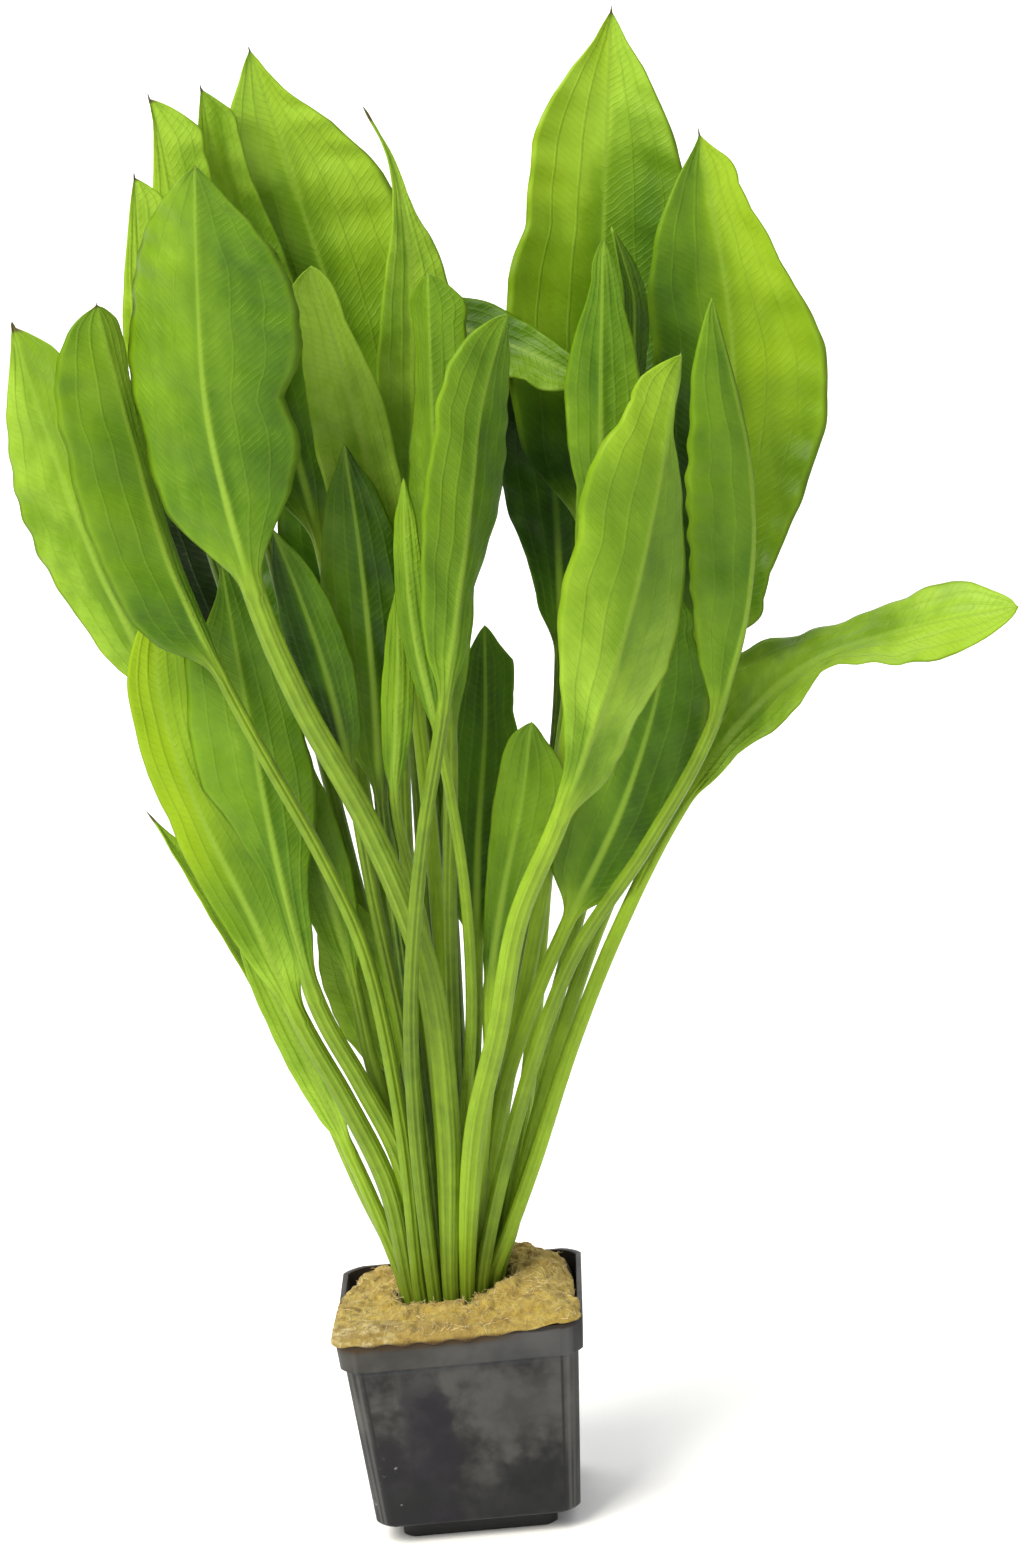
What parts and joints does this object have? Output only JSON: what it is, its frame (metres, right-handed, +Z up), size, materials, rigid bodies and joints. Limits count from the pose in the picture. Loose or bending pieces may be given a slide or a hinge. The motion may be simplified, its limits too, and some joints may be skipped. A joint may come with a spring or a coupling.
{
  "type": "potted amazon sword plant",
  "caption": "Aquarium plant, an amazon sword: long-stalked lance-shaped leaves fan out from a crown in a block of rockwool in a small square dark pot.",
  "frame": {"origin": "middle of the pot's foot, on the surface that it stands on", "axes": "+Z up along the pot, -Y toward the front of the plant, from where the picture sees it, +X to the picture's right"},
  "size_m": [0.208, 0.118, 0.3246],
  "materials": {
    "dark_plastic": "satin, slightly mottled",
    "rockwool": "rough, fibrous",
    "crown": "matte",
    "leaf": "satin"
  },
  "bodies": {
    "root": {"pot": "dark_plastic", "rockwool": "rockwool", "crown": "crown", "leaf_arching": "leaf", "leaf_back_low": "leaf", "leaf_behind": "leaf", "leaf_behind_left": "leaf", "leaf_behind_right": "leaf", "leaf_centre": "leaf", "leaf_centre_right": "leaf", "leaf_centre_young": "leaf", "leaf_curled_left": "leaf", "leaf_curled_top": "leaf", "leaf_far_left": "leaf", "leaf_front_far_right": "leaf", "leaf_front_left": "leaf", "leaf_front_right": "leaf", "leaf_front_small": "leaf", "leaf_heart": "leaf", "leaf_inner_left": "leaf", "leaf_inner_left_small": "leaf", "leaf_inner_low": "leaf", "leaf_inner_right": "leaf", "leaf_left": "leaf", "leaf_low_left": "leaf", "leaf_low_left_front": "leaf", "leaf_low_left_inner": "leaf", "leaf_low_right": "leaf", "leaf_low_small": "leaf", "leaf_lowest_left": "leaf", "leaf_reaching_right": "leaf", "leaf_right": "leaf", "leaf_shaded": "leaf", "leaf_tall_left": "leaf", "leaf_tall_left_inner": "leaf", "leaf_thin_right": "leaf", "leaf_top_left": "leaf", "leaf_top_right": "leaf", "leaf_upper_left": "leaf"}
  },
  "joints": []
}
